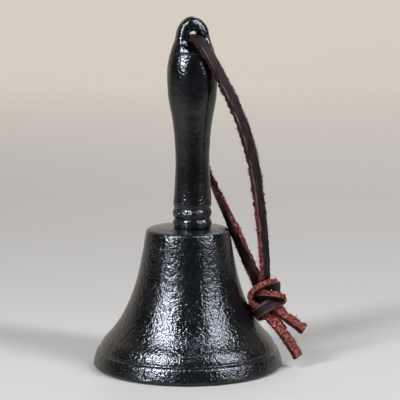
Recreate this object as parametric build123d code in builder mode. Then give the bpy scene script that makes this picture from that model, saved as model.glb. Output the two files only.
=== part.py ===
"""Cast-iron hand bell with a leather loop. Millimetres, +Z up.

The origin is the centre of the lip's base circle, on the surface that the bell stands on.
"""

import os
from math import cos, radians, sin, tan

from build123d import *

# ---- driving dimensions -------------------------------------------------------------------
total_height = 140.0
lip_radius = 38.1
foot_width = 3.2
foot_round_radius = 1.4
crown_top = 56.2
shoulder_radius = 16.7
crown_thickness = 4.2

handle_shift = 1.9  # the handle sits this far off the bell's axis, towards +X
belly_radius = 10.1
eye_height = 131.9
eye_diameter = 5.0
tab_thickness = 7.6
tab_turn = 17.0  # degrees that the eye tab's front face looks round towards +X

bolt_diameter = 4.9
thread_diameter = 5.0
crown_hole_diameter = 5.5
tapped_depth = 14.0
bolt_depth = 12.6

washer_thickness = 1.0
washer_diameter = 12.0
spring_washer_thickness = 1.2
spring_washer_diameter = 9.2
washer_bore = 5.3
nut_thickness = 4.0
nut_across_flats = 8.0

eye_wire = 2.4
eye_ring_radius = 3.2  # to the middle of the wire, as on the other rings
link_wire = 1.8
link_ring_radius = 3.6
rod_wire = 1.8
rod_ring_radius = 2.4
ring_play = 0.15
ball_radius = 7.5
ball_height = 11.0
peen_radius = 2.0
peen_thickness = 0.9

lace_diameter = 3.3  # a round tube in place of the flat lace
knot_centre = Vector(30.6, -2.0, 27.2)
knot_radius = 6.4
knot_half_height = 8.2

os.makedirs("parts", exist_ok=True)


# ---- bell body ----------------------------------------------------------------------------
bead_bottom = 7.4
bead_top = 11.8
shoulder_height = 55.3
inner_crown = crown_top - crown_thickness

with BuildPart() as bell_body:
    with BuildSketch(Plane.XZ):
        with BuildLine():
            # outside, from the foot of the lip up to the crown
            foot_outer = lip_radius - foot_round_radius
            foot = Line((foot_outer - foot_width, 0), (foot_outer, 0))
            foot_round = ThreePointArc(foot @ 1, (lip_radius - 0.4, 0.4), (lip_radius, foot_round_radius))
            lip_band = ThreePointArc(foot_round @ 1, (37.4, 4.2), (35.7, bead_bottom - 0.3))
            bead_groove = ThreePointArc(lip_band @ 1, (35.2, bead_bottom - 0.2), (35.2, bead_bottom + 0.1))
            bead = ThreePointArc(bead_groove @ 1, (34.3, bead_bottom + 2.0), (31.9, bead_top - 0.3))
            bead_step = ThreePointArc(bead @ 1, (31.5, bead_top - 0.1), (31.4, bead_top + 0.4))
            flare = Spline(
                bead_step @ 1,
                (28.65, 16),
                (26.1, 20),
                (22.0, 30),
                (19.35, 40),
                (17.6, 50),
                (shoulder_radius, 54.2),
            )
            shoulder = ThreePointArc(flare @ 1, (16.3, 55.0), (15.4, shoulder_height + 0.1))
            crown_slope = Line(shoulder @ 1, (10.0, crown_top))
            crown_flat = Line(crown_slope @ 1, (0, crown_top))
            # inside, from the crown down to the foot
            axis_line = Line(crown_flat @ 1, (0, inner_crown))
            crown_inside = Line(axis_line @ 1, (10.6, inner_crown))
            crown_corner = ThreePointArc(crown_inside @ 1, (12.9, 51.1), (13.9, 48.9))
            inside = Spline(
                crown_corner @ 1,
                (16.2, 40),
                (18.9, 30),
                (22.8, 20),
                (27.6, 12.6),
                (31.8, 6.5),
                foot @ 0,
            )
        make_face()
    revolve(axis=Axis.Z)
    with Locations((0, 0, crown_top)):
        Hole(crown_hole_diameter / 2, depth=2 * crown_thickness)
bell_body.part.label = "bell_body"
export_step(bell_body.part, "parts/bell_body.step")


# ---- handle -------------------------------------------------------------------------------
def turned(angle):
    """A plane on the handle's axis whose z axis is the eye tab's width direction."""
    width = Vector(cos(radians(angle)), sin(radians(angle)), 0)
    return Plane(origin=(handle_shift, 0, 0), x_dir=(-width.Y, width.X, 0), z_dir=width)


handle_axis = Axis((handle_shift, 0, 0), (0, 0, 1))
handle_side = Plane(origin=(handle_shift, 0, 0), x_dir=(1, 0, 0), z_dir=(0, -1, 0))
ledge_foot = 125.4
ledge_radius = 5.2
rim_rounding = 1.0
mouth_rounding = 0.8
past = 5.0  # how far a cut runs past what it cuts
tab_face = tab_thickness / 2
cut_side = tab_thickness + 2 * ledge_radius
cut_top = total_height + past

with BuildPart() as handle:
    with BuildSketch(handle_side):
        with BuildLine():
            base = Line((0, crown_top), (7.2, crown_top))
            low_ring = ThreePointArc(base @ 1, (7.7, crown_top + 1.7), (7.25, 59.4))
            low_groove = ThreePointArc(low_ring @ 1, (7.15, 59.55), (7.25, 59.7))
            high_ring = ThreePointArc(low_groove @ 1, (7.85, 61.6), (7.25, 63.5))
            high_groove = ThreePointArc(high_ring @ 1, (7.1, 63.75), (7.25, 64.0))
            grip_foot = ThreePointArc(high_groove @ 1, (7.55, 64.6), (7.66, 65.8))
            grip = Spline(
                grip_foot @ 1,
                (7.1, 75),
                (6.9, 83),
                (7.45, 94.5),
                (8.9, 103.8),
                (9.85, 110.5),
                (belly_radius, 117),
            )
            top = Spline(
                (grip @ 1, (9.15, 124.4), (7.2, 130.4), (6.3, 134.4), (3.9, 138.3), (0, total_height)),
                tangents=((0, 1), (-1, 0)),
            )
            Line(top @ 1, base @ 0)
        make_face()
    revolve(axis=handle_axis)
    # the two sides of the eye tab, each with a hollow ledge where the tab leaves the belly
    with BuildSketch(turned(tab_turn)):
        with BuildLine():
            face_line = Line((tab_face, cut_top), (tab_face, ledge_foot + ledge_radius))
            ledge = RadiusArc(face_line @ 1, (tab_face + ledge_radius, ledge_foot), -ledge_radius)
            Line(ledge @ 1, (cut_side, ledge_foot))
            Line((cut_side, ledge_foot), (cut_side, cut_top))
            Line((cut_side, cut_top), face_line @ 0)
        make_face()
        mirror(about=Plane.YZ)
    extrude(amount=belly_radius + past, both=True, mode=Mode.SUBTRACT)
    rim = handle.edges().filter_by(lambda edge: edge.center().Z > ledge_foot)
    fillet(rim, rim_rounding)
    # the eye's cross hole, with rounded mouths
    eye_plane = Plane(
        origin=(handle_shift, 0, eye_height),
        x_dir=(cos(radians(tab_turn)), sin(radians(tab_turn)), 0),
        z_dir=(sin(radians(tab_turn)), -cos(radians(tab_turn)), 0),
    )
    with Locations(eye_plane):
        Hole(eye_diameter / 2)
    mouths = handle.edges().filter_by(GeomType.CIRCLE).filter_by(
        lambda edge: abs(edge.radius - eye_diameter / 2) < 0.01 and edge.center().Z > ledge_foot
    )
    fillet(mouths, mouth_rounding)
    # the tapped hole lies on the bell's axis, so it is off the middle of the handle's foot
    with BuildSketch(Plane.XY.offset(crown_top)):
        Circle(thread_diameter / 2)
    extrude(amount=tapped_depth, mode=Mode.SUBTRACT)
handle.part.label = "handle"
export_step(handle.part, "parts/handle.step")


# ---- fasteners under the crown --------------------------------------------------------------
washer_bottom = inner_crown - washer_thickness
spring_bottom = washer_bottom - spring_washer_thickness
nut_bottom = spring_bottom - nut_thickness
washer_chamfer = 0.2

with BuildPart() as crown_washer:
    with BuildSketch(Plane.XY.offset(washer_bottom)):
        Circle(washer_diameter / 2)
        Circle(washer_bore / 2, mode=Mode.SUBTRACT)
    extrude(amount=washer_thickness)
    lower_circles = crown_washer.edges().filter_by(GeomType.CIRCLE).group_by(Axis.Z)[0]
    chamfer(lower_circles.sort_by(SortBy.RADIUS)[-1], washer_chamfer)
crown_washer.part.label = "crown_washer"
export_step(crown_washer.part, "parts/crown_washer.step")

split_gap = 0.9
split_slant = 30  # degrees
with BuildPart() as spring_washer:
    with BuildSketch(Plane.XY.offset(spring_bottom)):
        Circle(spring_washer_diameter / 2)
        Circle(washer_bore / 2, mode=Mode.SUBTRACT)
    extrude(amount=spring_washer_thickness)
    # the split, cut on the slant
    with BuildSketch(Plane.XZ):
        with Locations((0, spring_bottom + spring_washer_thickness / 2)):
            Rectangle(split_gap, 2 * spring_washer_thickness, rotation=split_slant)
    extrude(amount=-spring_washer_diameter, mode=Mode.SUBTRACT)
spring_washer.part.label = "spring_washer"
export_step(spring_washer.part, "parts/spring_washer.step")

nut_flat_radius = nut_across_flats / 2 - 0.1
nut_corner_radius = nut_across_flats / 2 / cos(radians(30))
nut_chamfer = 0.45
with BuildPart() as hex_nut:
    with BuildSketch(Plane.XY.offset(nut_bottom)):
        RegularPolygon(nut_across_flats / 2, 6, major_radius=False)
        Circle(thread_diameter / 2, mode=Mode.SUBTRACT)
    extrude(amount=nut_thickness)
    # the turned chamfer that rounds the hexagon's corners, top and bottom
    with BuildSketch(Plane.XZ):
        with BuildLine():
            Polyline(
                (0, nut_bottom),
                (nut_flat_radius, nut_bottom),
                (nut_corner_radius, nut_bottom + nut_chamfer),
                (nut_corner_radius, nut_bottom + nut_thickness - nut_chamfer),
                (nut_flat_radius, nut_bottom + nut_thickness),
                (0, nut_bottom + nut_thickness),
                close=True,
            )
        make_face()
    revolve(axis=Axis.Z, mode=Mode.INTERSECT)
hex_nut.part.label = "hex_nut"
export_step(hex_nut.part, "parts/hex_nut.step")


# ---- eye bolt -----------------------------------------------------------------------------
def ring_place(height, plane):
    """Where a wire ring that lies in the plane given goes, with its middle at the height given."""
    return Locations(Plane(origin=(0, 0, height), x_dir=plane.x_dir, z_dir=plane.z_dir))


bolt_chamfer = 0.6
eye_centre = nut_bottom - 0.6 - eye_ring_radius
shank_foot = eye_centre + eye_ring_radius - 0.5  # the shank runs a little way into the ring
with BuildPart() as eye_bolt:
    with BuildSketch(Plane.XY.offset(shank_foot)):
        Circle(bolt_diameter / 2)
    extrude(amount=crown_top + bolt_depth - shank_foot)
    chamfer(eye_bolt.edges().group_by(Axis.Z)[-1], bolt_chamfer)
    with ring_place(eye_centre, Plane.XZ):
        Torus(eye_ring_radius, eye_wire / 2)
eye_bolt.part.label = "eye_bolt"
export_step(eye_bolt.part, "parts/eye_bolt.step")


# ---- clapper: link, rod and ball --------------------------------------------------------------
# each ring hangs on the wire below the one above it, with a little play
link_hinge = eye_centre - eye_ring_radius
link_centre = link_hinge + eye_wire / 2 + link_wire / 2 + ring_play - link_ring_radius
rod_hinge = link_centre - link_ring_radius
rod_ring_centre = rod_hinge + link_wire / 2 + rod_wire / 2 + ring_play - rod_ring_radius
ball_bore = rod_wire + 0.1
peen_rounding = 0.4
rod_foot = ball_height - ball_radius - peen_thickness + 0.2

with BuildPart() as clapper_link:
    with ring_place(link_centre, Plane.YZ):
        Torus(link_ring_radius, link_wire / 2)
clapper_link.part.label = "clapper_link"
export_step(clapper_link.part, "parts/clapper_link.step")

with BuildPart() as clapper_rod:
    with ring_place(rod_ring_centre, Plane.XZ):
        Torus(rod_ring_radius, rod_wire / 2)
    with BuildSketch(Plane.XY.offset(rod_foot)):
        Circle(rod_wire / 2)
    extrude(amount=rod_ring_centre - rod_ring_radius - rod_foot)
    # the end is peened over beneath the ball
    with BuildSketch(Plane.XY.offset(rod_foot)):
        Circle(peen_radius)
    extrude(amount=peen_thickness)
    fillet(clapper_rod.edges().filter_by(GeomType.CIRCLE).group_by(Axis.Z)[0], peen_rounding)
clapper_rod.part.label = "clapper_rod"
export_step(clapper_rod.part, "parts/clapper_rod.step")

with BuildPart() as clapper_ball:
    with Locations((0, 0, ball_height)):
        Sphere(ball_radius)
        Cylinder(ball_bore / 2, 2 * ball_radius + 2, mode=Mode.SUBTRACT)
    # the flat that the peened end bears on
    with BuildSketch(Plane.XY.offset(rod_foot + peen_thickness)):
        Circle(ball_radius)
    extrude(amount=-ball_radius, mode=Mode.SUBTRACT)
clapper_ball.part.label = "clapper_ball"
export_step(clapper_ball.part, "parts/clapper_ball.step")
print("hinges at z", round(link_hinge, 3), round(rod_hinge, 3))


# ---- leather lace ---------------------------------------------------------------------------
# front strand from the knot up to the eye, through it, and the back strand down to the knot again
loop_points = [
    (31.6, -4.0, 35.2),
    (31.1, -4.2, 43.5),
    (29.9, -5.2, 55.0),
    (28.6, -6.4, 66.0),
    (26.9, -7.4, 79.0),
    (23.7, -8.2, 93.0),
    (18.9, -8.8, 105.5),
    (13.5, -9.2, 116.5),
    (8.4, -10.6, 126.6),
    (3.9, -6.6, 131.9),
    (-0.1, 6.6, 131.9),
    (-0.6, 12.2, 127.4),
    (-0.4, 14.0, 117.0),
    (0.6, 14.0, 104.5),
    (2.6, 12.8, 93.0),
    (6.4, 10.6, 81.0),
    (11.0, 8.2, 70.3),
    (16.0, 6.4, 60.0),
    (20.6, 4.6, 50.0),
    (25.0, 1.8, 40.6),
    (28.3, -0.2, 33.6),
]
upper_tail_points = [
    (35.0, -3.0, 23.6),
    (38.4, -4.8, 20.4),
    (42.4, -6.2, 17.6),
    (46.6, -6.6, 14.2),
]
lower_tail_points = [
    (32.6, -4.2, 20.6),
    (36.2, -5.8, 15.8),
    (40.8, -7.2, 10.9),
    (44.4, -7.8, 5.0),
]


run_share = 0.45  # how much of the shorter run an arc may take


def corner_radii(points):
    """Each arc is as large as its two runs allow: that share of the shorter one over tan(half the turn)."""
    radii = []
    for before, corner, after in zip(points, points[1:], points[2:]):
        run_in = Vector(*corner) - Vector(*before)
        run_out = Vector(*after) - Vector(*corner)
        turn = radians(run_in.get_angle(run_out))
        radii.append(run_share * min(run_in.length, run_out.length) / tan(turn / 2))
    return radii


# each free stretch is a plain round tube along straight runs joined by tangent arcs
for name, points in (
    ("lace_loop", loop_points),
    ("lace_tail_upper", upper_tail_points),
    ("lace_tail_lower", lower_tail_points),
):
    radii = corner_radii(points)
    with BuildPart() as strand:
        with BuildLine() as route:
            FilletPolyline(*points, radius=radii)
        path = route.wire()
        with BuildSketch(Plane(origin=path @ 0, z_dir=path % 0)):
            section = Circle(lace_diameter / 2)
        sweep(path=path)
    strand.part.label = name
    export_step(strand.part, f"parts/{name}.step")
    filled = strand.part.volume / (section.area * path.length)
    print(name, "length", round(path.length, 1), "volume over section x length", round(filled, 4))
    print("  corner radii", [round(radius, 1) for radius in radii])

with BuildPart() as lace_knot:
    with BuildSketch(Plane(origin=knot_centre, x_dir=(1, 0, 0), z_dir=(0, -1, 0))):
        with BuildLine():
            side = EllipticalCenterArc((0, 0), knot_radius, knot_half_height, start_angle=-90, arc_size=180)
            Line(side @ 1, side @ 0)
        make_face()
    revolve(axis=Axis(knot_centre, (0, 0, 1)))
lace_knot.part.label = "lace_knot"
export_step(lace_knot.part, "parts/lace_knot.step")
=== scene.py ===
# A black cast-iron hand bell with a knotted leather loop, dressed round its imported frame.
import math

import bpy
import numpy as np
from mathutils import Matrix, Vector


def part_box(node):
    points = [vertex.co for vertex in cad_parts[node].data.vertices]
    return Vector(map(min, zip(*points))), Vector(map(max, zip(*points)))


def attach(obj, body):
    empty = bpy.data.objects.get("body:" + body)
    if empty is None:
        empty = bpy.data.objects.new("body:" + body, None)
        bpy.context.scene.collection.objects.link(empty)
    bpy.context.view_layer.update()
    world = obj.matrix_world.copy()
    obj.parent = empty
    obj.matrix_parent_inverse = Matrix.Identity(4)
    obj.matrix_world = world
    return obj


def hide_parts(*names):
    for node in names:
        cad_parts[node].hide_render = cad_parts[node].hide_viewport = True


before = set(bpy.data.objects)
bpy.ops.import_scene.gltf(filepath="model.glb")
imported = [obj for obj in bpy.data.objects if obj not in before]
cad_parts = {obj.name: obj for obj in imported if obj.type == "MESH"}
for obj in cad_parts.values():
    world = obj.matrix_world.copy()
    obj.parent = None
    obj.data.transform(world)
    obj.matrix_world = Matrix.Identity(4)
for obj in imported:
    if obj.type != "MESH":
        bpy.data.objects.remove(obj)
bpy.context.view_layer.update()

mm = 0.001
scene = bpy.context.scene

cameraView = {
    "fieldOfView": 12.5,   # degrees
    "sensorWidth": 36.0,
    "pitch": 8.9,          # degrees downwards
    "distance": 0.7289,
    "lookAt": (0.0049, 0.0, 0.0669),
}


# The camera stands back from the point it looks at: at y - d cos(pitch) and z + d sin(pitch).
def makeCamera():
    pitch = math.radians(cameraView["pitch"])
    x, y, z = cameraView["lookAt"]
    data = bpy.data.cameras.new("camera")
    data.sensor_width = cameraView["sensorWidth"]
    data.angle = math.radians(cameraView["fieldOfView"])
    camera = bpy.data.objects.new("camera", data)
    away = cameraView["distance"]
    camera.location = (x, y - away * math.cos(pitch), z + away * math.sin(pitch))
    camera.rotation_euler = (math.radians(90) - pitch, 0, 0)
    scene.collection.objects.link(camera)
    scene.camera = camera


makeCamera()
print("camera set")


# What the noise mixes its lattice's places with: large odd numbers, so that neighbours get unlike values.
lattice = {
    "placeFactors": np.array([73856093, 19349663, 83492791]),
    "seedFactor": 2654435761,
    "mixFactor": 1274126177,
    "shift": 1000.0,       # cells, which keeps every place above zero
    "halfRange": 0xFFFF / 2,
}


# Smooth noise from -1 to 1. Every corner of a cubic lattice has a random value, made by mixing the bits of
# its place, and a point takes the blend of its eight corners, with the weight 3t^2 - 2t^3 along each axis.
def latticeNoise(points, cell, seed):
    place = np.asarray(points) / cell + lattice["shift"]
    base = np.floor(place).astype(np.int64)
    t = place - base
    t = t * t * (3 - 2 * t)
    total = np.zeros(place.shape[:-1])
    for corner in np.ndindex(2, 2, 2):
        i = base + np.array(corner)
        h = np.bitwise_xor.reduce(i * lattice["placeFactors"], axis=-1) ^ (seed * lattice["seedFactor"])
        h = (h ^ (h >> 13)) * lattice["mixFactor"] & 0xFFFFFFFF
        h = (h ^ (h >> 16)) & 0xFFFF
        weight = np.prod(np.where(np.array(corner) == 1, t, 1 - t), axis=-1)
        total += weight * (h / lattice["halfRange"] - 1)
    return total


# The sum of the layers' noise times their heights. A layer is (cell size, height) in mm, and the points
# are in mm too unless oneMm says otherwise. Each layer has the next seed.
def layeredNoise(points, layers, seed, oneMm=1):
    total = 0
    for k, (cell, height) in enumerate(layers):
        total = total + latticeNoise(points, cell * oneMm, seed + k) * height
    return total


# Quads between neighbouring points of a grid, with a flat cap over each open end if asked.
def gridFaces(rows, columns, loopRows, loopColumns, caps):
    index = np.arange(rows * columns).reshape(rows, columns)
    low = index if loopRows else index[:-1]
    high = np.roll(index, -1, axis=0) if loopRows else index[1:]
    quads = np.stack([low, np.roll(low, -1, axis=1), np.roll(high, -1, axis=1), high], axis=-1)
    if not loopColumns:
        quads = quads[:, :-1]
    faces = quads.reshape(-1, 4).tolist()
    if caps:
        faces += [index[0][::-1].tolist(), index[-1].tolist()]
    return faces


# Six times the volume: the sum over triangles of a . (b x c), which is positive if faces look outwards.
def signedVolume(points, faces):
    triangles = np.array([[f[0], f[i], f[i + 1]] for f in faces for i in range(1, len(f) - 1)])
    a, b, c = (points[triangles[:, k]] for k in range(3))
    return float(np.einsum("ij,ij->i", a, np.cross(b, c)).sum())


# A closed smooth mesh at the origin, turned the right way out if its signed volume is below zero.
def solidPiece(name, points, faces):
    points = np.asarray(points, float).reshape(-1, 3)
    if signedVolume(points - points.mean(0), faces) < 0:
        faces = [f[::-1] for f in faces]
    mesh = bpy.data.meshes.new(name)
    mesh.from_pydata(points.tolist(), [], faces)
    mesh.polygons.foreach_set("use_smooth", [True] * len(faces))
    mesh.update()
    piece = bpy.data.objects.new(name, mesh)
    scene.collection.objects.link(piece)
    return piece


# A Catmull-Rom curve through the knots, sampled at even steps along its length: between b and c it is
# half of 2b + (c - a) t + (2a - 5b + 4c - d) t^2 + (3b - a - 3c + d) t^3.
def smoothLine(knots, spacing):
    samples = 40    # between two knots, before they are spaced evenly
    p = np.array(knots, float)
    p = np.vstack([2 * p[0] - p[1], p, 2 * p[-1] - p[-2]])
    t = np.linspace(0, 1, samples, endpoint=False)[:, None]
    parts = []
    for a, b, c, d in zip(p, p[1:], p[2:], p[3:]):
        square = (2 * a - 5 * b + 4 * c - d) * t**2
        cube = (3 * b - a - 3 * c + d) * t**3
        parts.append(0.5 * (2 * b + (c - a) * t + square + cube))
    return evenLine(np.vstack(parts + [p[-2][None]]), spacing)


# The same line with its points evenly spaced along its length. Columns after the third ride along.
def evenLine(line, spacing):
    along = np.concatenate([[0], np.cumsum(np.linalg.norm(np.diff(line[:, :3], axis=0), axis=1))])
    steps = max(2, int(round(along[-1] / spacing)) + 1)
    at = np.linspace(0, along[-1], steps)
    return np.stack([np.interp(at, along, line[:, k]) for k in range(line.shape[1])], axis=1)


# An outline carried round the Z axis, where ring holds cos a and sin a: (r cos a, r sin a, z).
def sweptRound(r, z, ring):
    flat = r[:, :, None] * ring[None]
    return np.concatenate([flat, np.broadcast_to(z[:, :, None], flat.shape[:2] + (1,))], axis=-1)


# Each row divided by its own length.
def unit(v):
    return v / np.maximum(np.linalg.norm(v, axis=-1, keepdims=True), 1e-12)


# sRGB hex to linear RGBA: v / 12.92 up to 0.04045, and ((v + 0.055) / 1.055)^2.4 above it.
def linearColour(hexText):
    parts = [int(hexText[i:i + 2], 16) / 255 for i in (1, 3, 5)]
    return tuple(v / 12.92 if v <= 0.04045 else ((v + 0.055) / 1.055) ** 2.4 for v in parts) + (1.0,)


# A node of that kind. An input that is a socket is linked, and any other is set as the value.
def addNode(material, kind, settings=None, inputs=None):
    tree = material.node_tree
    node = tree.nodes.new(kind)
    for key, value in (settings or {}).items():
        setattr(node, key, value)
    for key, value in (inputs or {}).items():
        if isinstance(value, bpy.types.NodeSocket):
            tree.links.new(value, node.inputs[key])
        else:
            node.inputs[key].default_value = value
    return node


# A material with no nodes in it yet.
def newMaterial(name):
    material = bpy.data.materials.new(name)
    material.use_nodes = True
    material.node_tree.nodes.clear()
    return material


# Gives a colour ramp its stops, each a place from 0 to 1 and a hex value.
def setRamp(node, stops):
    ramp = node.color_ramp
    while len(ramp.elements) < len(stops):
        ramp.elements.new(1.0)
    for element, (place, colour) in zip(ramp.elements, stops):
        element.position = place
        element.color = linearColour(colour)


# Gives a piece one material all over.
def dress(piece, material):
    piece.data.materials.clear()
    piece.data.materials.append(material)


# One flat thong, in mm. Its control points run from the middle of the eye's hole to the cut end, and beside
# each is the way that the dark grain side faces there.
lace = {
    "width": 5.0,
    "thickness": 2.1,
    "bevel": 0.55,          # how much narrower each side is on the grain face than on the flesh face
    "cornerRadius": 0.35,
    "cornerPoints": 5,
    "flatPoints": 6,
    "edgePoint": 0.25,      # a point of the cut edge, this far from its middle
    "spacing": 0.33,
    "smoothedRows": 9,      # the grain side's turn is averaged over this many rows
    "fleshNoise": ((1.3, 0.32), (0.7, 0.26)),
    "slowNoise": ((5, 0.12),),
    "grainShare": 0.35,     # how much of the slow noise the grain side has
    "fibresPerMm": 9,
    "fibreLength": (0.4, 1.5),
    "fibreWidth": 0.13,
    "fibreSunk": 0.12,
    "fibreTaper": 0.7,
    "fibreEven": 0.12,      # the share of the fibres' spread that is even over the flesh side
    "fibreLean": 0.7,
    "fibreSway": 0.5,
    "frontSeed": 11,
    "backSeed": 23,
    "tailStart": 163.0,     # along the lace, where the two cut tails leave the knot
    "front": [
        ((1.9, 0.0, 131.9), (0, 0, 1)),
        ((3.9, -6.6, 131.9), (0.1, -0.3, 1)),
        ((8.0, -9.2, 126.6), (0.5, -0.85, 0.35)),
        ((13.4, -8.2, 116.5), (0.55, -0.83, 0.1)),
        ((18.9, -7.8, 105.5), (0.4, -0.9, 0.1)),
        ((23.7, -7.6, 93.0), (0.35, -0.92, 0.05)),
        ((26.9, -7.2, 79.0), (0.4, -0.92, 0)),
        ((28.6, -6.4, 66.0), (0.5, -0.86, 0)),
        ((29.9, -5.4, 55.0), (0.62, -0.78, 0)),
        ((30.8, -4.2, 44.0), (0.72, -0.7, 0)),
        ((31.0, -2.6, 37.5), (0.75, -0.65, 0)),
        ((30.9, -0.5, 32.6), (0.3, -1, 0)),
        ((31.2, 1.2, 27.5), (0, -1, 0)),
        ((32.2, 2.8, 22.7), (0, -0.9, -0.4)),
        ((33.8, 4.2, 20.0), (0.3, 0, -1)),
        ((35.6, 5.2, 22.2), (0.8, 0.6, -0.3)),
        ((36.4, 3.6, 27.0), (0.9, 0.3, 0.1)),
        ((36.2, 0.2, 31.6), (0.95, -0.4, 0.1)),
        ((34.0, -3.8, 33.6), (0.3, -0.85, -0.5)),
        ((30.9, -5.6, 33.3), (0.15, -0.6, -0.8)),
        ((27.5, -6.0, 31.9), (0.45, -0.5, -0.75)),
        ((25.4, -5.2, 29.4), (0.95, -0.35, 0)),
        ((25.8, -4.4, 26.6), (0.6, -0.3, 0.75)),
        ((28.4, -3.4, 25.6), (0.0, -0.5, 0.87)),
        ((31.6, -1.6, 25.3), (0, 0.6, 0.8)),
        ((34.3, -2.2, 24.1), (-0.3, 0.9, -0.3)),
        ((37.6, -3.9, 21.4), (-0.35, 0.5, -0.8)),
        ((42.0, -4.6, 18.1), (-0.35, 0.5, -0.8)),
        ((46.6, -5.2, 14.9), (-0.35, 0.5, -0.8)),
    ],
    "back": [
        ((1.9, 0.0, 131.9), (0, 0, 1)),
        ((-0.1, 6.6, 131.9), (-0.1, 0.3, 1)),
        ((-0.6, 11.8, 127.4), (-0.1, 0.9, 0.4)),
        ((-0.4, 13.6, 117.0), (-0.1, 1, 0)),
        ((0.6, 13.8, 104.5), (-0.3, 1, 0)),
        ((2.6, 12.8, 93.0), (-0.6, 0.8, 0)),
        ((6.4, 10.6, 81.0), (-0.9, 0.3, -0.3)),
        ((11.0, 8.2, 70.3), (-0.85, -0.3, -0.3)),
        ((16.0, 6.2, 60.0), (-0.75, -0.6, -0.3)),
        ((20.4, 4.2, 50.0), (-0.5, -0.85, -0.2)),
        ((24.2, 1.6, 41.4), (-0.2, -0.95, -0.1)),
        ((26.4, 0.4, 37.0), (-0.1, -1, 0)),
        ((28.5, 1.0, 32.3), (0, -1, 0)),
        ((29.8, 2.8, 27.2), (0, -1, 0)),
        ((29.8, 4.0, 21.7), (0, -0.9, -0.4)),
        ((28.1, 4.4, 18.9), (-0.4, 0, -0.9)),
        ((26.3, 4.2, 22.2), (-0.9, 0.4, 0)),
        ((26.0, 1.6, 26.6), (-0.8, 0.2, 0.5)),
        ((27.4, -2.8, 28.9), (0.1, -0.5, -0.87)),
        ((30.2, -5.4, 29.4), (0.05, -0.6, -0.8)),
        ((33.8, -6.2, 29.0), (0, -0.65, -0.75)),
        ((37.0, -5.0, 28.2), (0.2, -0.5, -0.8)),
        ((37.2, -2.4, 26.4), (-0.9, 0, 0.3)),
        ((35.4, -3.6, 26.2), (-0.1, -0.9, 0.2)),
        ((32.4, -5.6, 25.2), (-0.1, -0.95, 0.25)),
        ((29.2, -5.4, 22.9), (-0.2, -0.95, 0.1)),
        ((27.2, -3.6, 21.0), (-0.8, -0.4, -0.4)),
        ((28.4, -1.6, 19.9), (-0.6, 0.5, -0.6)),
        ((31.4, -3.0, 21.3), (-0.3, 0.8, -0.5)),
        ((35.2, -5.4, 18.0), (-0.2, 0.9, -0.3)),
        ((38.9, -6.6, 12.9), (-0.75, 0.62, 0.1)),
        ((41.8, -7.2, 8.6), (-0.8, 0.55, 0.1)),
        ((44.0, -7.6, 4.4), (-0.8, 0.5, 0.1)),
    ],
}


# The points of the route's own curve, a NURBS of order 3, each point's place in control-point steps, and
# the steps at which the curve is nearest its own control points.
def nurbsLine(points):
    curve = bpy.data.curves.new("route", "CURVE")
    curve.dimensions = "3D"
    curve.resolution_u = 24
    spline = curve.splines.new("NURBS")
    spline.points.add(len(points) - 1)
    for point, place in zip(spline.points, points):
        point.co = (*[v * mm for v in place], 1.0)
    spline.order_u = 3
    spline.use_endpoint_u = True
    holder = bpy.data.objects.new("route", curve)
    mesh = bpy.data.meshes.new_from_object(holder)
    line = np.array([v.co for v in mesh.vertices], float)
    bpy.data.meshes.remove(mesh)
    bpy.data.objects.remove(holder)
    bpy.data.curves.remove(curve)
    spans = len(points) - 2
    step = np.linspace(0, spans, len(line))
    nearest = np.concatenate([[0], np.arange(spans) + 0.5, [spans]])
    return line, step, nearest


# Round the section from the middle of the grain side: a rectangle of the lace's width and thickness with
# quarter-round corners, narrowed towards the grain by the bevel. Gives each point's place across and
# outwards, and how far it is on the flesh or cut side, from 0 to 1 over half a corner's radius.
def laceSection():
    half, deep, r = lace["width"] / 2, lace["thickness"] / 2, lace["cornerRadius"]
    turns = np.radians(np.linspace(0, 90, lace["cornerPoints"]))
    corner = np.stack([half - r + r * np.sin(turns), deep - r + r * np.cos(turns)], axis=1)
    across = np.linspace(0, half - r, lace["flatPoints"], endpoint=False)
    flat = np.stack([across, np.full(len(across), deep)], axis=1)
    edge = np.array([[half, lace["edgePoint"]], [half, 0.0]])
    quarter = np.vstack([flat, corner, edge])
    right = np.vstack([quarter, (quarter[:-1] * [1, -1])[::-1]])
    ring = np.vstack([right, (right[1:-1] * [-1, 1])[::-1]])
    flesh = np.clip((deep - r * 0.25 - ring[:, 1]) / (r * 0.5), 0, 1)
    ring[:, 0] *= 1 - lace["bevel"] / half * (ring[:, 1] / deep + 1) / 2
    return ring, flesh


# Which way the grain side faces along the line: the rows' own directions, averaged with a bell-shaped
# weight, less the part that lies along the line.
def grainDirection(step, nearest, hints, tangent):
    grain = np.stack([np.interp(step, nearest, hints[:, k]) for k in range(3)], axis=1)
    rows = lace["smoothedRows"]
    kernel = np.hanning(rows) / np.hanning(rows).sum()
    padded = np.pad(grain, ((rows // 2, rows // 2), (0, 0)), mode="edge")
    grain = np.stack([np.convolve(padded[:, k], kernel, mode="valid") for k in range(3)], axis=1)
    return unit(grain - np.sum(grain * tangent, axis=1, keepdims=True) * tangent)


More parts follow.
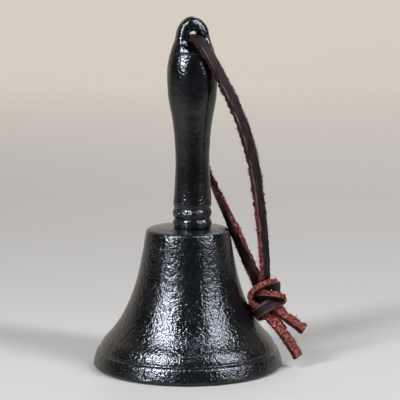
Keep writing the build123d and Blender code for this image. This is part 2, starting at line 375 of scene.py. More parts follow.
# A ribbon carried along the route: each point is line + side * across + grain * outwards. The flesh side
# and the cut edges are pushed in and out by noise, and the grain side hardly.
def laceStrand(name, rows, seed):
    line, step, nearest = nurbsLine([row[0] for row in rows])
    line = evenLine(np.column_stack([line, step]), lace["spacing"] * mm)
    line, step = line[:, :3], line[:, 3]
    tangent = unit(np.gradient(line, axis=0))
    grain = grainDirection(step, nearest, np.array([row[1] for row in rows], float), tangent)
    side = np.cross(tangent, grain)
    ring, flesh = laceSection()
    across = side[:, None] * ring[None, :, :1] * mm
    outwards = grain[:, None] * ring[None, :, 1:] * mm
    points = line[:, None] + across + outwards
    away = unit(across + outwards * 2)    # outwards counts double, because the lace is flat
    rough = layeredNoise(points, lace["fleshNoise"], seed, mm)
    slow = layeredNoise(points, lace["slowNoise"], seed + len(lace["fleshNoise"]), mm)
    slowShare = lace["grainShare"] + (1 - lace["grainShare"]) * flesh[None]
    points = points + away * (rough * flesh[None] + slow * slowShare)[..., None] * mm
    faces = gridFaces(len(line), len(ring), False, True, True)
    fibres, fibreFaces = laceFibres(points, away, tangent, flesh, laceLength(line) / mm, seed)
    count = points.shape[0] * points.shape[1]
    faces += [[count + i for i in face] for face in fibreFaces]
    piece = solidPiece(name, np.vstack([points.reshape(-1, 3), fibres]), faces)
    values = np.concatenate([np.tile(flesh, len(line)), np.ones(len(fibres))]).astype(np.float32)
    piece.data.attributes.new("fleshSide", "FLOAT", "POINT").data.foreach_set("value", values)
    # place within the lace itself: across, through, and along from the eye
    way = np.zeros((len(line), len(ring), 3))
    way[..., :2] = ring * mm
    way[..., 2] = (np.arange(len(line)) * lace["spacing"] * mm)[:, None]
    way = np.vstack([way.reshape(-1, 3), np.zeros((len(fibres), 3))])
    piece.data.attributes.new("laceWay", "FLOAT_VECTOR", "POINT").data.foreach_set("vector", way.ravel())
    return piece, line


# Loose fibres of the cut edges and the flesh side: bent three-sided spikes, each a base triangle sunk in
# the leather, a thinner triangle about halfway out, and a tip that leans along the lace. They are more
# likely towards the edges, by the square of the distance from the flesh side's middle.
def laceFibres(points, away, tangent, flesh, length, seed):
    draw = np.random.default_rng(seed)
    number = int(length * lace["fibresPerMm"])
    columns = np.flatnonzero(flesh > 0.95)
    edge = np.abs(np.arange(len(columns)) - (len(columns) - 1) / 2) / (len(columns) / 2)
    chance = lace["fibreEven"] + edge**2
    row = draw.integers(2, len(points) - 2, number)
    column = draw.choice(columns, number, p=chance / chance.sum())
    base, out, along = points[row, column], away[row, column], tangent[row]
    reach = draw.uniform(*lace["fibreLength"], number)[:, None] * mm
    lean = draw.normal(0, lace["fibreLean"], number)[:, None]
    sway = draw.normal(0, lace["fibreSway"], (number, 3))
    middle = base + unit(out + 0.5 * lean * along) * reach * 0.55
    tip = middle + unit(out * 0.4 + lean * along + 0.6 * sway) * reach * 0.6
    third = np.cross(out, along)
    spokes = [along * math.cos(a) + third * math.sin(a) for a in (0, 2 * math.pi / 3, 4 * math.pi / 3)]
    wide = lace["fibreWidth"] * mm / 2
    baseRing = [base - out * lace["fibreSunk"] * mm + spoke * wide for spoke in spokes]
    middleRing = [middle + spoke * wide * lace["fibreTaper"] for spoke in spokes]
    spikes = np.stack(baseRing + middleRing + [tip], axis=1)
    shape = [[0, 2, 1], [0, 1, 4, 3], [1, 2, 5, 4], [2, 0, 3, 5], [3, 4, 6], [4, 5, 6], [5, 3, 6]]
    if signedVolume(spikes[0] - spikes[0].mean(0), shape) < 0:
        shape = [face[::-1] for face in shape]
    faces = [[spikes.shape[1] * k + i for i in face] for k in range(number) for face in shape]
    return spikes.reshape(-1, 3), faces


# The sum of the distances between neighbouring points.
def laceLength(line):
    return float(np.linalg.norm(np.diff(line, axis=0), axis=1).sum())


# Both strands of the one thong, each built along its own middle line.
def makeLace(dyedLeather):
    for name, rows, seed in (
        ("lace_front", lace["front"], lace["frontSeed"]),
        ("lace_back", lace["back"], lace["backSeed"]),
    ):
        piece, line = laceStrand(name, rows, seed)
        dress(piece, dyedLeather)
        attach(piece, "bell")
        print(name, "length mm", round(laceLength(line) / mm, 1))
    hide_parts("lace_loop", "lace_knot", "lace_tail_upper")
    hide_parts("lace_tail_lower")


# Colours and pattern sizes of the leather, with sizes and places in mm.
leather = {
    "wrinkleSize": 0.8,
    "wrinkleStretch": 0.16,       # the wrinkles run along the lace
    "grainTones": [(0.36, "#0e0706"), (0.56, "#21110f"), (0.74, "#452c28")],
    # the long corners' pale tone: wear, and a painted highlight where the rounded corner catches the light
    "cornerWearAndHighlightTone": "#6d544d",
    "cornerWearAndHighlightAcross": (1.25, 1.75),    # the corners' wear and painted highlight begin and are full this far from the middle
    "cornerWearAndHighlightBreaks": (0.46, 0.62),
    "napSize": 0.95,              # a real nap is about 0.3 mm, too fine to show, so it is drawn coarser
    "suedeTones": [(0.38, "#260c0a"), (0.48, "#642b25"), (0.60, "#985045"), (0.72, "#cf9c8c")],
    "dyedTones": [(0.42, "#1d0e0c"), (0.60, "#3a201d"), (0.72, "#96534d")],
    "dyedHeight": (45, 85),       # the flesh side turns from pink to dark between these heights
    "tailEdgeDyeAndShadeAcross": (-1.7, -2.35),   # and a tail's cut edge, darkened by dye and by painted shade, between these places across it
    "roughness": (0.5, 0.95),     # of the grain side and of the suede
    "specular": 0.12,
    "bumpStrength": 0.8,
    "bumpDepth": 0.3,
}


# Dark brown that follows the wrinkles, with the two long corners pale in broken lines: partly wear, partly a
# painted highlight where the rounded corners catch the light.
def grainSideColour(m, wrinkle, across):
    grain = addNode(m, "ShaderNodeValToRGB", None, {"Fac": wrinkle})
    setRamp(grain, leather["grainTones"])
    apart = addNode(m, "ShaderNodeMath", {"operation": "ABSOLUTE"}, {0: across}).outputs[0]
    near, far = leather["cornerWearAndHighlightAcross"]
    corner = addNode(m, "ShaderNodeMapRange", {"interpolation_type": "SMOOTHSTEP"},
                     {"Value": apart, "From Min": near * mm, "From Max": far * mm}).outputs["Result"]
    low, high = leather["cornerWearAndHighlightBreaks"]
    broken = addNode(m, "ShaderNodeMapRange", None,
                     {"Value": wrinkle, "From Min": low, "From Max": high}).outputs["Result"]
    # the pale corner lines are a painted highlight as well as wear
    wearAndHighlight = addNode(m, "ShaderNodeMath", {"operation": "MULTIPLY"}, {0: corner, 1: broken}).outputs[0]
    return addNode(m, "ShaderNodeMix", {"data_type": "RGBA"},
                   {"Factor": wearAndHighlight, 6: grain.outputs["Color"],
                    7: linearColour(leather["cornerWearAndHighlightTone"])}).outputs[2]


# The loose fibres took the dye unevenly: dark down to the middle of the strands, pink from there on. One cut
# edge of each tail is darkened nearly to the grain's tone: heavier dye there, and painted shade where it
# faces down.
def fleshSideColour(m, nap, height, across, along):
    suede = addNode(m, "ShaderNodeValToRGB", None, {"Fac": nap})
    setRamp(suede, leather["suedeTones"])
    dyed = addNode(m, "ShaderNodeValToRGB", None, {"Fac": nap})
    setRamp(dyed, leather["dyedTones"])
    low, high = leather["dyedHeight"]
    share = addNode(m, "ShaderNodeMapRange", {"interpolation_type": "SMOOTHSTEP"},
                    {"Value": height, "From Min": low * mm, "From Max": high * mm}).outputs["Result"]
    strands = addNode(m, "ShaderNodeMix", {"data_type": "RGBA"},
                      {"Factor": share, 6: suede.outputs["Color"], 7: dyed.outputs["Color"]}).outputs[2]
    beyond = addNode(m, "ShaderNodeMath", {"operation": "GREATER_THAN"},
                     {0: along, 1: lace["tailStart"] * mm}).outputs[0]
    # one cut edge of each tail gets painted shade as well as the darker dye
    near, far = leather["tailEdgeDyeAndShadeAcross"]
    underside = addNode(m, "ShaderNodeMapRange", {"interpolation_type": "SMOOTHSTEP"},
                        {"Value": across, "From Min": near * mm, "From Max": far * mm}).outputs["Result"]
    dyeAndShade = addNode(m, "ShaderNodeMath", {"operation": "MULTIPLY"}, {0: beyond, 1: underside}).outputs[0]
    return addNode(m, "ShaderNodeMix", {"data_type": "RGBA"},
                   {"Factor": dyeAndShade, 6: strands, 7: dyed.outputs["Color"]}).outputs[2]


# A lace cut from chrome-tanned side leather: the hair side is dyed dark brown and smooth with a low
# gloss, and the flesh side and cut edges are loose reddish suede with no gloss.
def makeLaceLeather():
    m = newMaterial("chromeTannedLaceLeather")
    where = addNode(m, "ShaderNodeTexCoord").outputs["Object"]
    flesh = addNode(m, "ShaderNodeAttribute", {"attribute_name": "fleshSide"}).outputs["Fac"]
    way = addNode(m, "ShaderNodeAttribute", {"attribute_name": "laceWay"}).outputs["Vector"]
    pulled = addNode(m, "ShaderNodeMapping", None,
                     {"Vector": way, "Scale": (1.0, 1.0, leather["wrinkleStretch"])}).outputs["Vector"]
    wrinkle = addNode(m, "ShaderNodeTexNoise", None,
                      {"Vector": pulled, "Scale": 1 / (leather["wrinkleSize"] * mm),
                       "Detail": 4.0, "Roughness": 0.65}).outputs["Fac"]
    nap = addNode(m, "ShaderNodeTexNoise", None,
                  {"Vector": where, "Scale": 1 / (leather["napSize"] * mm),
                   "Detail": 4.0, "Roughness": 0.7}).outputs["Fac"]
    place = addNode(m, "ShaderNodeSeparateXYZ", None, {"Vector": way}).outputs
    height = addNode(m, "ShaderNodeSeparateXYZ", None, {"Vector": where}).outputs["Z"]
    grainColour = grainSideColour(m, wrinkle, place["X"])
    fleshColour = fleshSideColour(m, nap, height, place["X"], place["Z"])
    colour = addNode(m, "ShaderNodeMix", {"data_type": "RGBA"},
                     {"Factor": flesh, 6: grainColour, 7: fleshColour}).outputs[2]
    low, high = leather["roughness"]
    gloss = addNode(m, "ShaderNodeMapRange", None, {"Value": flesh, "To Min": low, "To Max": high})
    relief = addNode(m, "ShaderNodeMix", {"data_type": "FLOAT"}, {"Factor": flesh, 2: wrinkle, 3: nap})
    bump = addNode(m, "ShaderNodeBump", None,
                   {"Height": relief.outputs[0], "Strength": leather["bumpStrength"],
                    "Distance": leather["bumpDepth"] * mm})
    shader = addNode(m, "ShaderNodeBsdfPrincipled", None,
                     {"Base Color": colour, "Roughness": gloss.outputs["Result"],
                      "Normal": bump.outputs["Normal"], "Specular IOR Level": leather["specular"]})
    addNode(m, "ShaderNodeOutputMaterial", None, {"Surface": shader.outputs["BSDF"]})
    return m


makeLace(makeLaceLeather())
print("lace made")


# The bell, in mm. Outline points are (radius, height), up the outside from the foot and down the inside.
shell = {
    "foot": [(34.2, 0.0), (36.4, 0.0), (37.3, 0.25), (37.9, 0.8)],
    "outside": [(38.15, 1.2), (37.8, 2.7), (37.35, 4.2), (36.9, 5.6), (36.45, 6.35), (35.9, 6.7),
                (35.25, 7.0), (35.25, 7.5), (34.85, 8.7), (34.1, 9.9), (33.35, 11.0), (32.4, 11.95),
                (31.0, 13.4), (29.95, 14.7), (28.85, 16.2), (26.35, 20), (24.0, 25), (22.05, 30),
                (20.5, 35), (19.35, 40), (18.4, 45), (17.6, 50), (16.85, 53.8), (16.45, 54.9), (15.4, 55.45),
                (12.5, 55.8), (10.0, 56.15), (6.0, 56.2)],
    "inside": [(13.9, 48.9), (16.2, 40), (18.9, 30), (22.8, 20), (27.6, 12.6), (31.8, 6.5), (33.3, 1.0),
               (33.7, 0.2)],
    "holeRadius": 2.75,
    "innerCrown": 52.0,
    "outerSpacing": 0.42,
    "innerSpacing": 1.1,
    "columns": 410,
    "mouldNoise": ((16, 0.14), (5.5, 0.05)),     # (cell size, height) of the mould's slow waves
    "sandNoise": ((2.2, 0.04), (1.25, 0.055)),
    "flatFoot": 1.2,                             # the noise grows from nothing over this height
    "lipInward": 0.06,                           # beyond the radius 35
    "wornEdge": {"height": 0.7, "spread": 0.9, "from": 36, "over": 1.5,
                 "cell": 3.2, "level": 0.1, "depth": 0.45},
    "seed": 5,
}


# The closed outline: up the outside, down the bolt's hole, and back down the inside to the foot.
def shellOutline():
    hole, ceiling = shell["holeRadius"], shell["innerCrown"]
    crown = [(3.3, 56.2), (hole, 55.7), (hole, ceiling + 0.3)]
    under = [(hole + 0.5, ceiling), (10.4, ceiling), (12.6, 51.3)]
    outer = smoothLine(shell["foot"] + shell["outside"], shell["outerSpacing"])
    inner = smoothLine(under + shell["inside"], shell["innerSpacing"])
    return np.vstack([outer, crown, inner])


# Each outline point is swept round the axis: x = r cos a, y = r sin a. The casting's unevenness is noise
# along the surface's own normal: slow waves of the mould and the coarse grain of the sand.
def makeShell(enamel):
    outline = shellOutline()
    angle = np.linspace(0, 2 * math.pi, shell["columns"], endpoint=False)
    slope = unit(np.roll(outline, -1, axis=0) - np.roll(outline, 1, axis=0))
    r, z = outline[:, :1], outline[:, 1:]
    ring = np.stack([np.cos(angle), np.sin(angle)], axis=-1)
    points = sweptRound(r, z, ring)
    out = sweptRound(slope[:, 1:], -slope[:, :1], ring)
    mould = layeredNoise(points, shell["mouldNoise"], shell["seed"])
    sand = layeredNoise(points, shell["sandNoise"], shell["seed"] + 2)
    # the foot stays flat, and the noise keeps inside the lip's own radius
    free = np.clip(z / shell["flatFoot"], 0, 1)
    inward = np.clip((r - 35) / 2, 0, 1) * shell["lipInward"]
    points = points + out * ((mould + sand - inward) * free)[..., None]
    # the lip's lower edge is worn and unevenly ground
    worn = shell["wornEdge"]
    nearEdge = np.exp(-((z - worn["height"]) / worn["spread"]) ** 2)
    edge = nearEdge * np.clip((r - worn["from"]) / worn["over"], 0, 1)
    patches = latticeNoise(points, worn["cell"], shell["seed"] + 4)
    chip = np.clip(patches - worn["level"], 0, 1) * worn["depth"] * edge
    points[..., :2] -= ring[None] * chip[..., None]
    faces = gridFaces(len(outline), len(angle), True, True, False)
    piece = solidPiece("bell_shell", points * mm, faces)
    dress(piece, enamel)
    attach(piece, "bell")
    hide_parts("bell_body")
    return piece


# The handle, in mm. Outline points are (radius, height) from the collar's foot to the top of the eye.
grip = {
    "outline": [(7.25, 56.2), (7.5, 56.7), (7.68, 57.8), (7.55, 59.0), (7.2, 59.5), (7.3, 60.0), (7.72, 61.0),
                (7.75, 62.2), (7.45, 63.3), (7.12, 63.75), (7.35, 64.3), (7.66, 65.6), (7.46, 68.5),
                (7.1, 75), (6.93, 80), (6.9, 84.6), (7.0, 88), (7.42, 94.2), (8.28, 100.6),
                (8.91, 103.8), (9.46, 107), (9.85, 111), (10.1, 116.5), (9.9, 120.4), (9.2, 124.4),
                (8.63, 126.4), (7.96, 128.4), (7.19, 130.4), (6.73, 132.4), (6.31, 134.4),
                (5.47, 136.4), (3.77, 138.4), (2.0, 139.6)],
    "top": 140.0,
    "boltHoleRadius": 2.5,
    "boltHoleDepth": 14.0,
    "boltHoleChamfer": 0.4,
    "tabHalf": 3.8,
    "tabTurn": 17.0,         # degrees
    "ledgeFoot": 126.1,
    "ledgeRadius": 4.2,
    "ledgeRise": 1 / 17,     # the ledge climbs towards the sides by this times the distance squared
    "ledgeOpening": 6,       # below the ledge the two faces part this steeply
    "tabBlend": (0.6, 2.4),  # how rounded the tab's edge is at the ledge and above it
    "tabBlendOver": (0.5, 3.5),
    "lipHeight": 0.22,
    "lipWidth": 0.35,
    "creaseHeight": 125.3,
    "creaseDepth": 0.5,
    "creaseWidth": (0.18, 0.6),   # below and above
    "creaseFade": 5,              # the crease is full this far from the middle
    "eyeRadius": 2.5,
    "eyeHeight": 131.9,
    "mouthRadius": 1.1,
    "mouthSteps": 9,
    "eyeColumns": 72,
    "spacing": 0.4,
    "denseRows": (0.8, 4.5, 48),  # below the crease, above the ledge's foot, and how many
    "columns": 200,
    "grainNoise": ((1.2, 0.05), (2.6, 0.07)),   # (cell size, height)
    "waveNoise": ((9, 0.10),),
    "collarNoise": ((1.9, 0.22),),              # the collar was cast rougher than the grip
    "inward": 0.06,
    "seed": 31,
}


# The smaller of two values, rounded where they are within blend of each other: b (1 - h) + a h less
# blend h (1 - h), where h goes from 0 to 1 as a passes below b.
def softLess(a, b, blend):
    h = np.clip(0.5 + 0.5 * (b - a) / blend, 0, 1)
    return b * (1 - h) + a * h - blend * h * (1 - h)


# The handle stands a little beside the bell's axis: at the middle of its own box.
def handleAxisX():
    low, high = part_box("handle")
    return (low.x + high.x) / 2 / mm


# Heights and radii up the handle, closer together where the eye tab's ledge is nearly level.
def handleRows():
    line = smoothLine(grip["outline"] + [(0.5, grip["top"] - 0.02)], grip["spacing"])
    below, above, number = grip["denseRows"]
    extra = np.linspace(grip["creaseHeight"] - below, grip["ledgeFoot"] + above, number)
    keep = (line[:, 1] < extra[0] - 0.05) | (line[:, 1] > extra[-1] + 0.05)
    rising = line[np.argsort(line[:, 1])]
    dense = np.stack([np.interp(extra, rising[:, 1], rising[:, 0]), extra], axis=1)
    lower = line[keep & (line[:, 1] < extra[0])]
    upper = line[keep & (line[:, 1] > extra[-1])]
    return np.vstack([lower, dense, upper])


# The turned shape (r cos a, r sin a, z) with its depth held between two faces at the top, which make the
# eye tab. The faces flare into the belly along a hollow quarter round, R - sqrt(R^2 - (R - rise)^2), that
# climbs to the sides. A rolled lip and a crease are bell-shaped bumps, exp(-(height / width)^2).
def turnedWithTab(r, z, angle):
    across, through = r * np.cos(angle), r * np.sin(angle)
    height = np.broadcast_to(z, across.shape)
    foot = grip["ledgeFoot"] + across**2 * grip["ledgeRise"]
    bend = grip["ledgeRadius"]
    rise = np.clip(height - foot, 0, bend)
    hollow = bend - np.sqrt(np.maximum(bend**2 - (bend - rise) ** 2, 0))
    limit = grip["tabHalf"] + hollow + np.maximum(foot - height, 0) * grip["ledgeOpening"]
    blend = np.interp(height - foot, grip["tabBlendOver"], grip["tabBlend"])
    through = np.sign(through) * np.minimum(softLess(np.abs(through), limit, blend), np.abs(through))
    # a crease where the eye was set into the belly of the pattern
    drop = height - grip["creaseHeight"]
    below, above = grip["creaseWidth"]
    depth = grip["creaseDepth"] * np.exp(-(drop / np.where(drop < 0, below, above)) ** 2)
    crease = depth * np.clip(np.abs(through) / grip["creaseFade"], 0, 1)
    # the ledge's edge stands up as a thin rolled lip on the front and back
    roll = grip["lipHeight"] * np.exp(-((height - foot - grip["lipWidth"]) / grip["lipWidth"]) ** 2)
    lip = roll * np.clip(np.abs(through) / 2 - 1, 0, 1)
    shrink = 1 - (crease - lip) / np.maximum(np.hypot(across, through), 3)
    out = unit(np.stack([across, through, np.zeros_like(across)], axis=-1))
    return np.stack([across * shrink, through * shrink, height], axis=-1), out


# How far the casting's skin stands out or in: grain and waves all over, and lumps at the collar, fading to
# nothing at the foot and the top.
def gripUnevenness(local, foot):
    seed, height = grip["seed"], local[..., 2]
    low = np.clip((70 - height) / 8, 0, 1)
    grain = layeredNoise(local, grip["grainNoise"], seed)
    waves = layeredNoise(local, grip["waveNoise"], seed + 2)
    lumps = layeredNoise(local * [1, 1, 1.6], grip["collarNoise"], seed + 3) * low
    fade = np.clip((grip["top"] - height) / 2.5, 0, 1) * np.clip((height - foot) / 0.6, 0, 1)
    return (grain * (0.55 + 0.6 * low) + waves + lumps - grip["inward"]) * fade


# The tapped hole, from its blind end down to a chamfer at the foot. It is on the bell's axis, turned back
# into the handle's own directions.
def boltBore(foot, angle, turn):
    hole, chamfer = grip["boltHoleRadius"], grip["boltHoleChamfer"]
    wall = np.array([(hole, foot + grip["boltHoleDepth"]), (hole, foot + chamfer), (hole + chamfer, foot)])
    bore = sweptRound(wall[:, :1], wall[:, 1:], np.stack([np.cos(angle), np.sin(angle)], axis=-1))
    bore[..., 0] -= handleAxisX() * math.cos(turn)
    bore[..., 1] += handleAxisX() * math.sin(turn)
    return bore


# From the handle's own directions to the bell's: turned by t about Z, x cos t - y sin t and
# x sin t + y cos t, and moved to the handle's axis.
def turnedToBell(x, y, z, turn):
    along = x * math.cos(turn) - y * math.sin(turn) + handleAxisX()
    return np.stack([along, x * math.sin(turn) + y * math.cos(turn), z], axis=-1)


# The turned shape with its uneven skin, its tapped hole below and the eye bored through its top.
def makeHandle(enamel):
    line = handleRows()
    foot = line[0, 1]
    turn = math.radians(grip["tabTurn"])
    angle = np.linspace(0, 2 * math.pi, grip["columns"], endpoint=False)
    local, out = turnedWithTab(line[:, :1], line[:, 1:], angle)
    local = local + out * gripUnevenness(local, foot)[..., None]
    local = np.concatenate([boltBore(foot, angle, turn), local], axis=0)
    points = turnedToBell(local[..., 0], local[..., 1], local[..., 2], turn) * mm
    piece = solidPiece("handle_casting", points, gridFaces(len(local), len(angle), False, True, True))
    cutEye(piece, turn)
    dress(piece, enamel)
    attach(piece, "bell")
    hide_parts("handle")
    return piece


# Bores the eye with a round cutter, whose mouths flare by a quarter round where they meet the tab:
# radius + mouth (1 - cos b) across at half - mouth + mouth sin b from the middle.
def cutEye(piece, turn):
    mouth, half, radius = grip["mouthRadius"], grip["tabHalf"], grip["eyeRadius"]
    bend = np.radians(np.linspace(0, 84, grip["mouthSteps"]))   # short of level, so that the cut ends cleanly
    flare = np.stack([radius + mouth * (1 - np.cos(bend)), half - mouth + mouth * np.sin(bend)], axis=1)
    front = np.vstack([flare, [[flare[-1, 0] + 0.3, half + 3]]])
    profile = np.vstack([(front * [1, -1])[::-1], front])
    angle = np.linspace(0, 2 * math.pi, grip["eyeColumns"], endpoint=False)
    across = profile[:, :1] * np.cos(angle)
    up = profile[:, :1] * np.sin(angle) + grip["eyeHeight"]
    deep = np.broadcast_to(profile[:, 1:], across.shape)
    faces = gridFaces(len(profile), len(angle), False, True, True)
    cutter = solidPiece("eyeCutter", turnedToBell(across, deep, up, turn) * mm, faces)
    cut = piece.modifiers.new("eye", "BOOLEAN")
    cut.operation = "DIFFERENCE"
    cut.solver = "EXACT"
    cut.object = cutter
    done = bpy.data.meshes.new_from_object(piece.evaluated_get(bpy.context.evaluated_depsgraph_get()))
    piece.modifiers.clear()
    piece.data = done
    bpy.data.objects.remove(cutter)
    done.polygons.foreach_set("use_smooth", [True] * len(done.polygons))


# The enamel over the castings, with sizes and heights in mm.
enamelSkin = {
    "sandSize": 0.72,         # the sand was about 0.3 mm, too fine to show, so it is drawn coarser
    "pitSize": 1.3,
    "pitShare": 0.4,
    "patchSize": 9,
    "depth": 0.22,
    "grip": {"from": 62, "to": 80, "strength": (1.0, 0.4)},   # the grip was dressed smoother than the bell
    "eye": {"from": 112, "to": 125, "strength": (0.0, 0.45)},   # and the eye wasn't, so this much comes back
    "tones": [(0.3, "#070708"), (0.7, "#0e0e0f")],
    "roughness": (0.15, 0.22),
    "ior": 1.5,
}


# Grey iron cast in sand and dipped in black enamel: the sand's grain shows through as a pebbled skin,
# and the enamel over it is glossy, so a lamp's reflection breaks into small bright flecks.
def makeEnamel():
    m = newMaterial("blackEnamelOnSandCastIron")
    where = addNode(m, "ShaderNodeTexCoord").outputs["Object"]
    sand = addNode(m, "ShaderNodeTexNoise", None,
                   {"Vector": where, "Scale": 1 / (enamelSkin["sandSize"] * mm),
                    "Detail": 2.0, "Roughness": 0.45}).outputs["Fac"]
    pits = addNode(m, "ShaderNodeTexVoronoi", {"feature": "SMOOTH_F1"},
                   {"Vector": where, "Scale": 1 / (enamelSkin["pitSize"] * mm),
                    "Smoothness": 0.5}).outputs["Distance"]
    patch = addNode(m, "ShaderNodeTexNoise", None,
                    {"Vector": where, "Scale": 1 / (enamelSkin["patchSize"] * mm),
                     "Detail": 3.0, "Roughness": 0.6}).outputs["Fac"]
    skin = addNode(m, "ShaderNodeMath", {"operation": "MULTIPLY_ADD"},
                   {0: pits, 1: enamelSkin["pitShare"], 2: sand}).outputs[0]
    z = addNode(m, "ShaderNodeSeparateXYZ", None, {"Vector": where}).outputs["Z"]
    shares = []
    for part in (enamelSkin["grip"], enamelSkin["eye"]):
        below, above = part["strength"]
        share = addNode(m, "ShaderNodeMapRange", None,
                        {"Value": z, "From Min": part["from"] * mm, "From Max": part["to"] * mm,
                         "To Min": below, "To Max": above})
        shares.append(share.outputs["Result"])
    strength = addNode(m, "ShaderNodeMath", {"operation": "ADD"}, {0: shares[0], 1: shares[1]}).outputs[0]
    bump = addNode(m, "ShaderNodeBump", None,
                   {"Height": skin, "Strength": strength, "Distance": enamelSkin["depth"] * mm})
    tone = addNode(m, "ShaderNodeValToRGB", None, {"Fac": patch})
    setRamp(tone, enamelSkin["tones"])
    low, high = enamelSkin["roughness"]
    gloss = addNode(m, "ShaderNodeMapRange", None,
                    {"Value": patch, "From Min": 0.3, "From Max": 0.7, "To Min": low, "To Max": high})
    shader = addNode(m, "ShaderNodeBsdfPrincipled", None,
                     {"Base Color": tone.outputs["Color"], "Roughness": gloss.outputs["Result"],
                      "Normal": bump.outputs["Normal"], "IOR": enamelSkin["ior"]})
    addNode(m, "ShaderNodeOutputMaterial", None, {"Surface": shader.outputs["BSDF"]})
    return m


enamel = makeEnamel()
makeShell(enamel)
print("bell body made")
makeHandle(enamel)
print("handle made")


# Cold-headed steel under bright zinc: a fine drawn texture and slightly uneven gloss. The drawing marks
# are under 0.1 mm apart, too fine to show, so they are drawn coarser.
def makeZinc():
    m = newMaterial("brightZincOnSteel")
    where = addNode(m, "ShaderNodeTexCoord").outputs["Object"]
    drawn = addNode(m, "ShaderNodeMapping", None,
                    {"Vector": where, "Scale": (1.0, 1.0, 0.25)}).outputs["Vector"]
    streak = addNode(m, "ShaderNodeTexNoise", None,
                     {"Vector": drawn, "Scale": 1 / (0.5 * mm), "Detail": 3.0}).outputs["Fac"]
    tone = addNode(m, "ShaderNodeValToRGB", None, {"Fac": streak})
    setRamp(tone, [(0.3, "#a9acae"), (0.7, "#c6c8c9")])
    gloss = addNode(m, "ShaderNodeMapRange", None,
                    {"Value": streak, "From Min": 0.3, "From Max": 0.7, "To Min": 0.24, "To Max": 0.42})
    bump = addNode(m, "ShaderNodeBump", None, {"Height": streak, "Strength": 0.15, "Distance": 0.05 * mm})
    shader = addNode(m, "ShaderNodeBsdfPrincipled", None,
                     {"Base Color": tone.outputs["Color"], "Metallic": 1.0,
                      "Roughness": gloss.outputs["Result"], "Normal": bump.outputs["Normal"]})
    addNode(m, "ShaderNodeOutputMaterial", None, {"Surface": shader.outputs["BSDF"]})
    return m


# A small iron ball, sand cast and tumbled: dull grey, with the sand's pits left in it.
def makeBareIron():
    m = newMaterial("tumbledGreyIron")
    where = addNode(m, "ShaderNodeTexCoord").outputs["Object"]
    sand = addNode(m, "ShaderNodeTexNoise", None,
                   {"Vector": where, "Scale": 1 / (1.0 * mm), "Detail": 5.0, "Roughness": 0.7}).outputs["Fac"]
    tone = addNode(m, "ShaderNodeValToRGB", None, {"Fac": sand})
    setRamp(tone, [(0.3, "#3a3836"), (0.7, "#5c5957")])
    bump = addNode(m, "ShaderNodeBump", None, {"Height": sand, "Strength": 0.6, "Distance": 0.2 * mm})
    shader = addNode(m, "ShaderNodeBsdfPrincipled", None,
                     {"Base Color": tone.outputs["Color"], "Metallic": 1.0, "Roughness": 0.5,
                      "Normal": bump.outputs["Normal"]})
    addNode(m, "ShaderNodeOutputMaterial", None, {"Surface": shader.outputs["BSDF"]})
    return m


zinc = makeZinc()
for name in ("eye_bolt", "crown_washer", "spring_washer", "hex_nut", "clapper_link", "clapper_rod"):
    dress(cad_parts[name], zinc)
dress(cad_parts["clapper_ball"], makeBareIron())
print("fasteners and clapper dressed")


# The floor and the light, in metres.
studio = {
    "floorColour": "#b9b1a7",
    "frontColour": "#24221f",
    "frontFade": (-0.10, -0.30),   # the paper is darker towards the camera, which the enamel mirrors
    "backdropAway": 1.5,
    "backdropHalf": 3.0,
    "bendRadius": 0.3,
    "bendSteps": 13,
    "backdropGlow": 1.0,
    "glowFrom": 0.1,
    "worldColour": "#d6d8dc",
    "worldStrength": 0.06,
    "lampColour": "#e6f0ff",
    "lampAim": (0, 0, 0.06),
    # each lamp: turn round from the front in degrees, height angle, distance, width, height, watts, and
    # whether matt surfaces see it. A gloss card shows only in the enamel and the lace's sheen: it makes the
    # highlights brighter without making the leather and the floor lighter.
    "lamps": {
        "leftBox": (-45, 37, 0.75, 0.125, 0.64, 7.4, True),
        "rightBox": (59, 37, 0.75, 0.115, 0.64, 6.4, True),
        "backBox": (165, 40, 1.0, 0.3, 0.3, 2.0, True),
        "leftCard": (-45, 39, 0.75, 0.125, 0.58, 12.5, False),
        "rightCard": (59, 39, 0.75, 0.115, 0.58, 3.2, False),
    },
}


# Matt paper: pale, dark towards the camera, and lit from behind where it rises.
def makePaper():
    m = newMaterial("palePaper")
    where = addNode(m, "ShaderNodeTexCoord").outputs["Object"]
    y = addNode(m, "ShaderNodeSeparateXYZ", None, {"Vector": where}).outputs["Y"]
    glow = addNode(m, "ShaderNodeMapRange", {"interpolation_type": "SMOOTHSTEP"},
                   {"Value": y, "From Min": studio["glowFrom"], "From Max": studio["backdropAway"],
                    "To Max": studio["backdropGlow"]}).outputs["Result"]
    near, gone = studio["frontFade"]
    fade = addNode(m, "ShaderNodeMapRange", {"interpolation_type": "SMOOTHSTEP"},
                   {"Value": y, "From Min": near, "From Max": gone}).outputs["Result"]
    paper = linearColour(studio["floorColour"])
    shade = addNode(m, "ShaderNodeMix", {"data_type": "RGBA"},
                    {"Factor": fade, 6: paper, 7: linearColour(studio["frontColour"])}).outputs[2]
    shader = addNode(m, "ShaderNodeBsdfPrincipled", None,
                     {"Base Color": shade, "Roughness": 0.8,
                      "Emission Color": paper, "Emission Strength": glow})
    addNode(m, "ShaderNodeOutputMaterial", None, {"Surface": shader.outputs["BSDF"]})
    return m


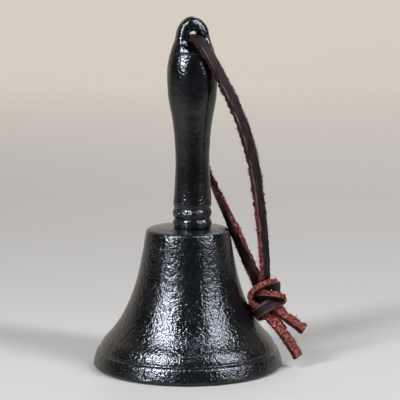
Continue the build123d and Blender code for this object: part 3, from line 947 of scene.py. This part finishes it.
# A floor that bends up into a wall: straight, a quarter round of the bend radius, straight.
def makeBackdrop():
    far, bend, half = studio["backdropAway"], studio["bendRadius"], studio["backdropHalf"]
    turns = np.radians(np.linspace(0, 90, studio["bendSteps"]))
    curve = [(far - bend + bend * math.sin(t), bend - bend * math.cos(t)) for t in turns]
    line = [(-half, 0.0)] + curve + [(far, half)]
    points = [(x, y, z) for y, z in line for x in (-half, half)]
    faces = [(2 * i, 2 * i + 1, 2 * i + 3, 2 * i + 2) for i in range(len(line) - 1)]
    mesh = bpy.data.meshes.new("backdrop")
    mesh.from_pydata(points, [], faces)
    mesh.polygons.foreach_set("use_smooth", [True] * len(faces))
    backdrop = bpy.data.objects.new("backdrop", mesh)
    scene.collection.objects.link(backdrop)
    dress(backdrop, makePaper())


# A softbox at a place, turned so that it shines on the point lookAt.
def addLamp(name, place, lookAt, size, watts, onMatt):
    data = bpy.data.lights.new(name, "AREA")
    data.shape = "RECTANGLE"
    data.size, data.size_y = size
    data.energy = watts
    data.color = linearColour(studio["lampColour"])[:3]
    lamp = bpy.data.objects.new(name, data)
    lamp.location = place
    lamp.rotation_euler = (Vector(lookAt) - Vector(place)).to_track_quat("-Z", "Y").to_euler()
    lamp.visible_diffuse = onMatt
    scene.collection.objects.link(lamp)


# Each lamp stands at aim + away (sin a cos e, -cos a cos e, sin e), for its turn a and height angle e.
def makeStudio():
    makeBackdrop()
    world = bpy.data.worlds.new("studio")
    world.use_nodes = True
    background = world.node_tree.nodes["Background"]
    background.inputs["Color"].default_value = linearColour(studio["worldColour"])
    background.inputs["Strength"].default_value = studio["worldStrength"]
    scene.world = world
    aim = np.array(studio["lampAim"])
    for name, (turn, lift, away, wide, tall, watts, onMatt) in studio["lamps"].items():
        a, e = math.radians(turn), math.radians(lift)
        back = np.array([math.sin(a) * math.cos(e), -math.cos(a) * math.cos(e), math.sin(e)])
        addLamp(name, aim + back * away, aim, (wide, tall), watts, onMatt)


makeStudio()
scene.view_settings.view_transform = "Standard"
print("studio made")
